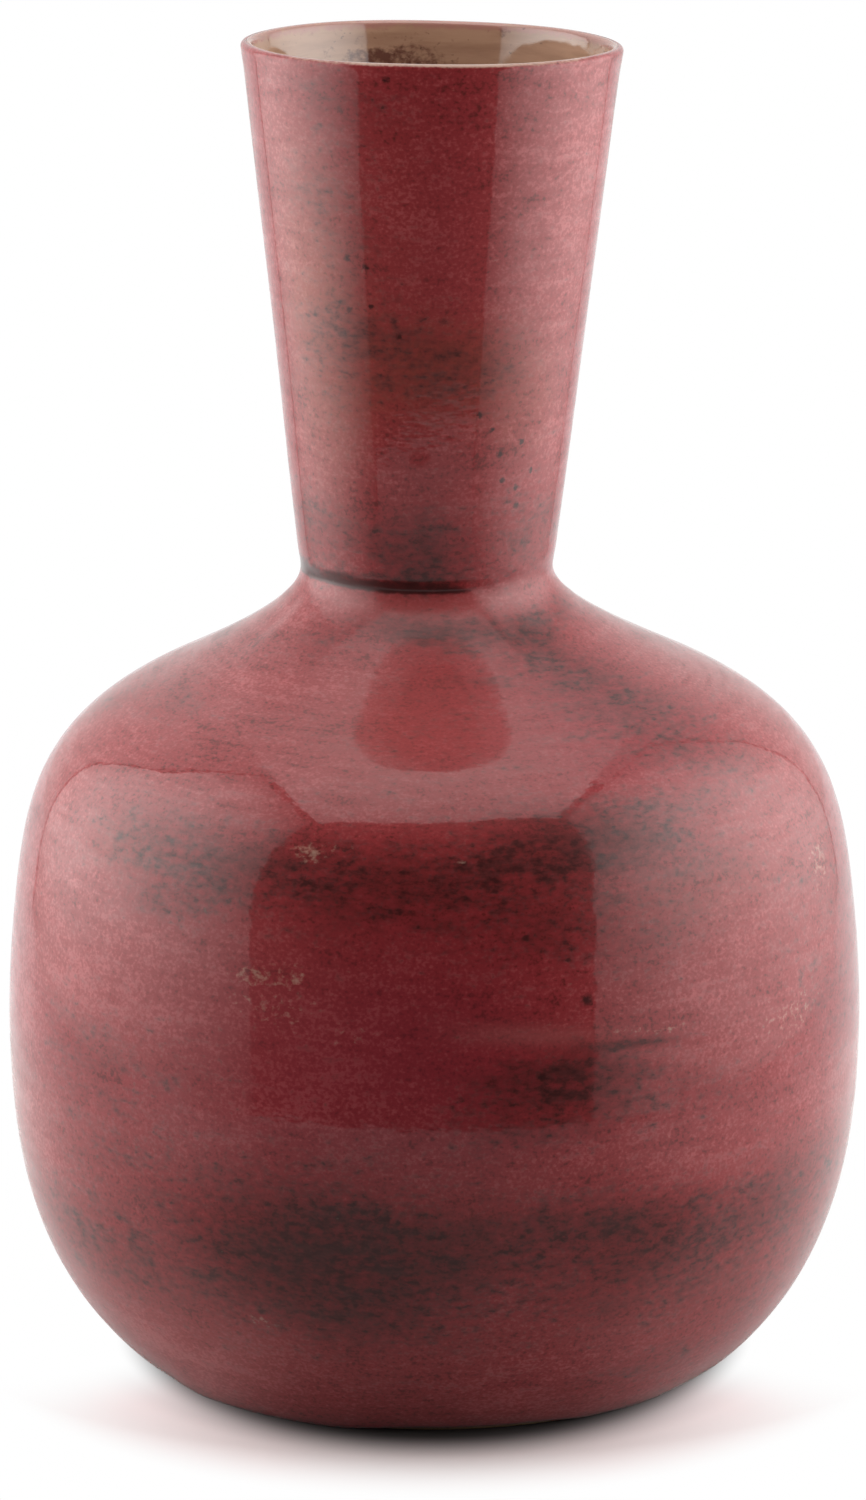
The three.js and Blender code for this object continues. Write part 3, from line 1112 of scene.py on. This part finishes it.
def clay_pieces(clay, slip):
    gap = SLIP_THICKNESS / 2 + FIT
    outer = stretch(CLAY_OUTSIDE, -math.inf, RING_HEIGHT)
    tread = outer[0][0] - RING_TREAD_INSET
    clay_piece("foot_ring", np.vstack([
        place(tread - RING_TREAD, 0),
        place(tread, 0),
        outer,
        place(outer[-1][0] - RING_WIDTH, RING_HEIGHT),
    ]), clay)

    low = RING_HEIGHT + FIT
    high = low + SLIP_THICKNESS
    outer = stretch(CLAY_OUTSIDE, low, high)
    clay_piece("foot_slip_seam", np.vstack([
        outer,
        place(outer[-1][0] - RING_WIDTH, high),
        place(outer[0][0] - RING_WIDTH, low),
    ]), slip)

    rim = SEAM[1] - gap
    outer = stretch(CLAY_OUTSIDE, UNDERSIDE, rim)
    clay_piece("base_bowl", np.vstack([
        outer,
        groove_at(rim),
        stretch(CLAY_INSIDE, -math.inf, rim)[:-1],
    ]), clay, on_axis=True)

    half = SLIP_THICKNESS / 2
    clay_piece("belly_slip_seam", wall_section(SEAM[1] - half, SEAM[1] + half), slip)
    clay_piece("shoulder_dome", wall_section(SEAM[1] + gap, COLLAR[1] - gap), clay)
    clay_piece("collar_slip_seam", wall_section(COLLAR[1] - half, COLLAR[1] + half), slip)
    low = COLLAR[1] + gap
    clay_piece("neck", np.vstack([
        stretch(CLAY_OUTSIDE, low, math.inf),
        stretch(CLAY_INSIDE, low, math.inf),
        groove_at(low),
    ]), clay)


# The studio, in metres


def stage_mesh(name, points, faces, material):
    made = mesh_object(name, points, faces, material)
    return made


def bare_material(name):
    """A material with nothing in it but its output."""
    material, tree, shader = new_material(name)
    tree.nodes.remove(shader)
    return material, tree


def glow_material(name, plain, bright=0.0, middle=(0, 0, 0), spread=(1, 1, 1), low=1.0):
    """Nearly white light of a plain strength with a brighter middle, dimmed by a factor at the table."""
    material, tree = bare_material(name)
    position = node(tree, "TexCoord").outputs["Object"]
    scaled = node(tree, "Mapping", {
        "Vector": position, "Location": middle, "Scale": spread,
    }, vector_type="TEXTURE").outputs["Vector"]
    squared = node(tree, "VectorMath", {0: scaled, 1: scaled}, operation="DOT_PRODUCT")
    # A bell curve: e to the power of minus half the squared distance
    fade = calculated("POWER", math.exp(-0.5), squared.outputs["Value"])
    strength = sum_of(product(fade, bright), plain)
    level = node(tree, "SeparateXYZ", {0: position}).outputs["Z"]
    strength = product(strength, ramp(level, 0, LOW_FADE, low, 1))
    glow = node(tree, "Emission", {"Color": LAMP_WHITE, "Strength": strength})
    fill(tree, tree.nodes["Material Output"], {"Surface": glow.outputs[0]})
    return material


def light_panel(name, corners, material):
    piece = stage_mesh(name, corners, [range(len(corners))], material)
    piece.visible_camera = False


def grown(outline, width):
    """A flat outline, drawn anticlockwise, with every edge moved out by a width."""
    corners = np.array(outline, dtype=float)
    before = corners - np.roll(corners, 1, axis=0)
    after = np.roll(corners, -1, axis=0) - corners
    before /= np.linalg.norm(before, axis=1)[:, None]
    after /= np.linalg.norm(after, axis=1)[:, None]
    out_before = np.stack([before[:, 1], -before[:, 0]], axis=1)
    out_after = np.stack([after[:, 1], -after[:, 0]], axis=1)
    middle = out_before + out_after
    middle *= 2 / (middle**2).sum(axis=1)[:, None]
    return corners + middle * width


# The light left of the vase and the light right of it: from the floor at the back, up and round
LEFT_OUTLINE = [
    (0.35, -0.06), (0.35, 0.3), (0.2, 0.5), (0.146, 0.88),
    (-0.276, 0.92), (-0.37, 0.25), (-0.415, -0.06),
]
RIGHT_OUTLINE = [
    (0.42, -0.06), (0.42, 0.45), (0.37, 0.76), (-0.208, 0.92),
    (-0.368, 0.488), (-0.454, 0.293), (-0.5, -0.06),
]
SIDE_AWAY = 0.4
RIM_AWAY = 0.404
RIM_WIDTH = 0.018
# The light above: wide at the back, with its front edge bent
TOP_OUTLINE = [(-0.316, -0.25), (0, -0.287), (0.32, -0.2), (0.37, 0.55), (-0.36, 0.55)]
TOP_AWAY = 0.8
TENT_FRONT = 0.25
TENT_BACK = 1.6
TENT_SIDE = 1.5
TENT_ROOF = 1.5
TENT_FOOT = -0.1
# How bright each light is all over and how much brighter in its middle, where that is, and how wide
LEFT_GLOW = {"plain": 0.05, "bright": 3.4, "middle": (-SIDE_AWAY, 0.02, 0.315), "spread": (1, 0.24, 0.346)}
RIGHT_GLOW = {"plain": 0.5, "bright": 2.95, "middle": (SIDE_AWAY, -0.019, 0.325), "spread": (1, 0.247, 0.276)}
TOP_GLOW = {"plain": 1.05, "bright": 0.9, "middle": (0, -0.02, TOP_AWAY), "spread": (1, 0.2, 1)}
TENT_GLOW = {"plain": 0.84, "bright": 0.3, "middle": (-0.9, 1.4, 1.6), "spread": (0.8, 1, 0.4)}
# A side light's share of its strength at the table, and how high the dimming reaches
LEFT_LOW = 0.6
RIGHT_LOW = 0.8
LOW_FADE = 0.12
# The light that the dark room gives
ROOM = 0.03


def side_light(name, outline, side, glow):
    """A light beside the vase, with a dark rim that shows against the bright tent behind it."""
    light_panel(name, [(side * SIDE_AWAY, y, z) for y, z in outline], glow)
    rim = [(side * RIM_AWAY, y, z) for y, z in grown(outline, RIM_WIDTH)]
    light_panel(name + "_rim", rim, glow_material(name + "_rim", ROOM))


def tent():
    """A bright tent round the back of the table, which fills the reflections on the shoulders."""
    glow = glow_material("tent_light", **TENT_GLOW)
    left, back_left = (-TENT_SIDE, TENT_FRONT), (-TENT_SIDE, TENT_BACK)
    right, back_right = (TENT_SIDE, TENT_FRONT), (TENT_SIDE, TENT_BACK)
    walls = {
        "tent_back": (back_left, back_right),
        "tent_left": (left, back_left),
        "tent_right": (right, back_right),
    }
    for name, (start, end) in walls.items():
        light_panel(name, [
            (*start, TENT_FOOT), (*end, TENT_FOOT), (*end, TENT_ROOF), (*start, TENT_ROOF),
        ], glow)
    roof = [(*corner, TENT_ROOF) for corner in (left, right, back_right, back_left)]
    light_panel("tent_roof", roof, glow)


def studio_lights():
    left_glow = glow_material("left_light", **LEFT_GLOW, low=LEFT_LOW)
    side_light("left_light", LEFT_OUTLINE, -1, left_glow)
    right_glow = glow_material("right_light", **RIGHT_GLOW, low=RIGHT_LOW)
    side_light("right_light", RIGHT_OUTLINE, 1, right_glow)
    top_corners = [(x, y, TOP_AWAY) for x, y in TOP_OUTLINE]
    light_panel("top_light", top_corners, glow_material("top_light", **TOP_GLOW))
    tent()


# The table's shape: flat round the vase, dropping away in front, and wide behind
FLOOR_FLAT = 0.38
FLOOR_END = 0.745
FLOOR_DROP = 0.093
FLOOR_BACK = 4
FRONT_REACH = 62
FLOOR_STEPS = 96

# How bright the table is to the vase, painted into its colour and its glow far out. A pair says where a
# change begins and where it is complete
FLOOR_ALBEDO = 0.8
DIM_FRONT = 0.5
LIT_ASIDE_X = (0.1, 0.26)
LIT_ASIDE_Y = (-0.3, -0.14)
LIT_FOOT_X = (0.02, 0.06)
LIT_FOOT_Y = (-0.13, -0.07)
LIT_FOOT_SHARE = 0.7
LIT_EDGE_Y = (-0.52, -0.36)
LIT_EDGE_SHARE = 0.4
LIT_BEHIND_Y = (-0.1, 0.0)
MIRRORED_AWAY = (0.2, 0.34)

# How the eye sees the table: its shadow, painted darker into its colour near the foot and painted warm, the
# plain white round that, and the painted dark line at the foot
SEEN_NEAR = 0.08
WARM_SHADOW = 0.9
SHADOW_AWAY = (0.0755, 0.09)
PLAIN_AWAY = (0.085, 0.112)
PLAIN_ASIDE = (0.4, 1.05)
CONTACT_TURN = 0.012
CONTACT_AWAY = (0.0615, 0.074)
WARM_ASIDE = 0.13
WARM_ASIDE_FROM = (0, 0.1)
WARM_ASIDE_TO = (0.6, 1)


def floor_brightness(apart):
    """How bright the table is to the vase, as painted light in its colour: dim in front of it, and full
    beside and behind it.
    """
    sideways = calculated("ABSOLUTE", apart.outputs["X"])
    back = apart.outputs["Y"]
    aside = product(ramp(sideways, *LIT_ASIDE_X), ramp(back, *LIT_ASIDE_Y))
    foot = ramp(sideways, *LIT_FOOT_X, 0, LIT_FOOT_SHARE)
    foot = product(foot, ramp(back, *LIT_FOOT_Y))
    edge = ramp(back, *LIT_EDGE_Y, LIT_EDGE_SHARE, 0)
    lit = larger(aside, larger(foot, edge))
    lit = larger(lit, ramp(back, *LIT_BEHIND_Y))
    return ramp(lit, 0, 1, DIM_FRONT, 1)


def floor_to_vase(tree, rays, away, brightness):
    """The table as the vase sees it, with light and shade painted into its colour. Far out it glows as
    painted light, so that its mirror image is even.
    """
    dimmed = product(brightness, FLOOR_ALBEDO)
    table = node(tree, "BsdfDiffuse", {"Color": colour_of(dimmed, dimmed, dimmed)})
    far = node(tree, "Emission", {"Color": WHITE, "Strength": brightness})
    mirrored_far = product(ramp(away, *MIRRORED_AWAY), rays.outputs["Is Glossy Ray"])
    return mixed(mirrored_far, table, far)


def floor_to_eye(tree, away, apart):
    """The table as the eye sees it: a painted shadow round the foot, and plain white beyond and beside it."""
    # Painted shadow: the colour darkens towards the foot on top of the shadow the lamps cast, and a lower
    # green and blue make it warm
    albedo = ramp(away, *SHADOW_AWAY, SEEN_NEAR)
    warmer = product(albedo, WARM_SHADOW)
    shadowed = node(tree, "BsdfDiffuse", {"Color": colour_of(albedo, warmer, warmer)})
    to_front = calculated("DIVIDE", product(apart.outputs["Y"], -1.0), away)
    aside = ramp(to_front, *PLAIN_ASIDE, 1, 0)
    # Beside the vase the white fades in from a dark line at the foot, painted shade, and is warm where it
    # starts, a painted tint of red light from the vase
    warm = ramp(aside, *WARM_ASIDE_TO, WARM_ASIDE, 0)
    warm = product(ramp(aside, *WARM_ASIDE_FROM), warm)
    warm = product(warm, ramp(away, *PLAIN_AWAY, 1, 0))
    paler = calculated("SUBTRACT", 1.0, warm)
    plain = node(tree, "Emission", {"Color": colour_of(1.0, paler, paler), "Strength": 1.0})
    from_foot = sum_of(away, product(to_front, -CONTACT_TURN))
    aside = product(aside, ramp(from_foot, *CONTACT_AWAY))
    return mixed(larger(ramp(away, *PLAIN_AWAY), aside), shadowed, plain)


def floor_material():
    material, tree = bare_material("floor")
    rays = node(tree, "LightPath")
    position = node(tree, "TexCoord").outputs["Object"]
    away = node(tree, "VectorMath", {0: position}, operation="LENGTH").outputs["Value"]
    apart = node(tree, "SeparateXYZ", {0: position})
    to_vase = floor_to_vase(tree, rays, away, floor_brightness(apart))
    seen = larger(rays.outputs["Is Camera Ray"], rays.outputs["Is Transmission Ray"])
    surface = mixed(seen, to_vase, floor_to_eye(tree, away, apart))
    fill(tree, tree.nodes["Material Output"], {"Surface": surface.outputs[0]})
    return material


def white_floor():
    inner = []
    outer = []
    for angle in azimuths(FLOOR_STEPS):
        in_front = abs(angle) < math.radians(FRONT_REACH)
        reach, drop = (FLOOR_END, FLOOR_DROP) if in_front else (FLOOR_BACK, 0)
        inner.append((FLOOR_FLAT * math.sin(angle), -FLOOR_FLAT * math.cos(angle), 0))
        outer.append((reach * math.sin(angle), -reach * math.cos(angle), -drop))
    faces = [list(range(FLOOR_STEPS))]
    for here in range(FLOOR_STEPS):
        there = (here + 1) % FLOOR_STEPS
        faces.append([here, FLOOR_STEPS + here, FLOOR_STEPS + there, there])
    stage_mesh("floor", inner + outer, faces, floor_material())


def world():
    """White to the eye, and a little light from the room to everything else."""
    made = bpy.data.worlds.new("studio")
    bpy.context.scene.world = made
    made.use_nodes = True
    tree = made.node_tree
    rays = node(tree, "LightPath")
    strength = ramp(rays.outputs["Is Camera Ray"], 0, 1, ROOM, 1)
    fill(tree, tree.nodes["Background"], {"Color": WHITE, "Strength": strength})


# The camera, in millimetres of lens and film, metres and degrees
CAMERA_LENS = 120
CAMERA_FILM = 36
CAMERA_TARGET = (-0.0003, 0, 0.1375)
CAMERA_AWAY = 1.1494
CAMERA_ELEVATION = 14.857


def camera():
    data = bpy.data.cameras.new("camera")
    data.lens = CAMERA_LENS
    data.sensor_width = CAMERA_FILM
    data.clip_start = 0.05
    data.clip_end = 20
    made = bpy.data.objects.new("camera", data)
    bpy.context.scene.collection.objects.link(made)
    elevation = math.radians(CAMERA_ELEVATION)
    back = Vector((0, -math.cos(elevation), math.sin(elevation)))
    made.location = Vector(CAMERA_TARGET) + back * CAMERA_AWAY
    made.rotation_euler = (-back).to_track_quat("-Z", "Y").to_euler()
    bpy.context.scene.camera = made


camera()
world()
white_floor()
studio_lights()
outer_glaze(red_glaze())
lining_glaze(buff_glaze())
clay_pieces(
    clay=bare_clay("fired_clay", CLAY, DEEP_CLAY, roughness=0.85),
    slip=bare_clay("fired_slip", SLIP, DEEP_SLIP, roughness=0.9),
)

bpy.context.scene.view_settings.view_transform = "Standard"
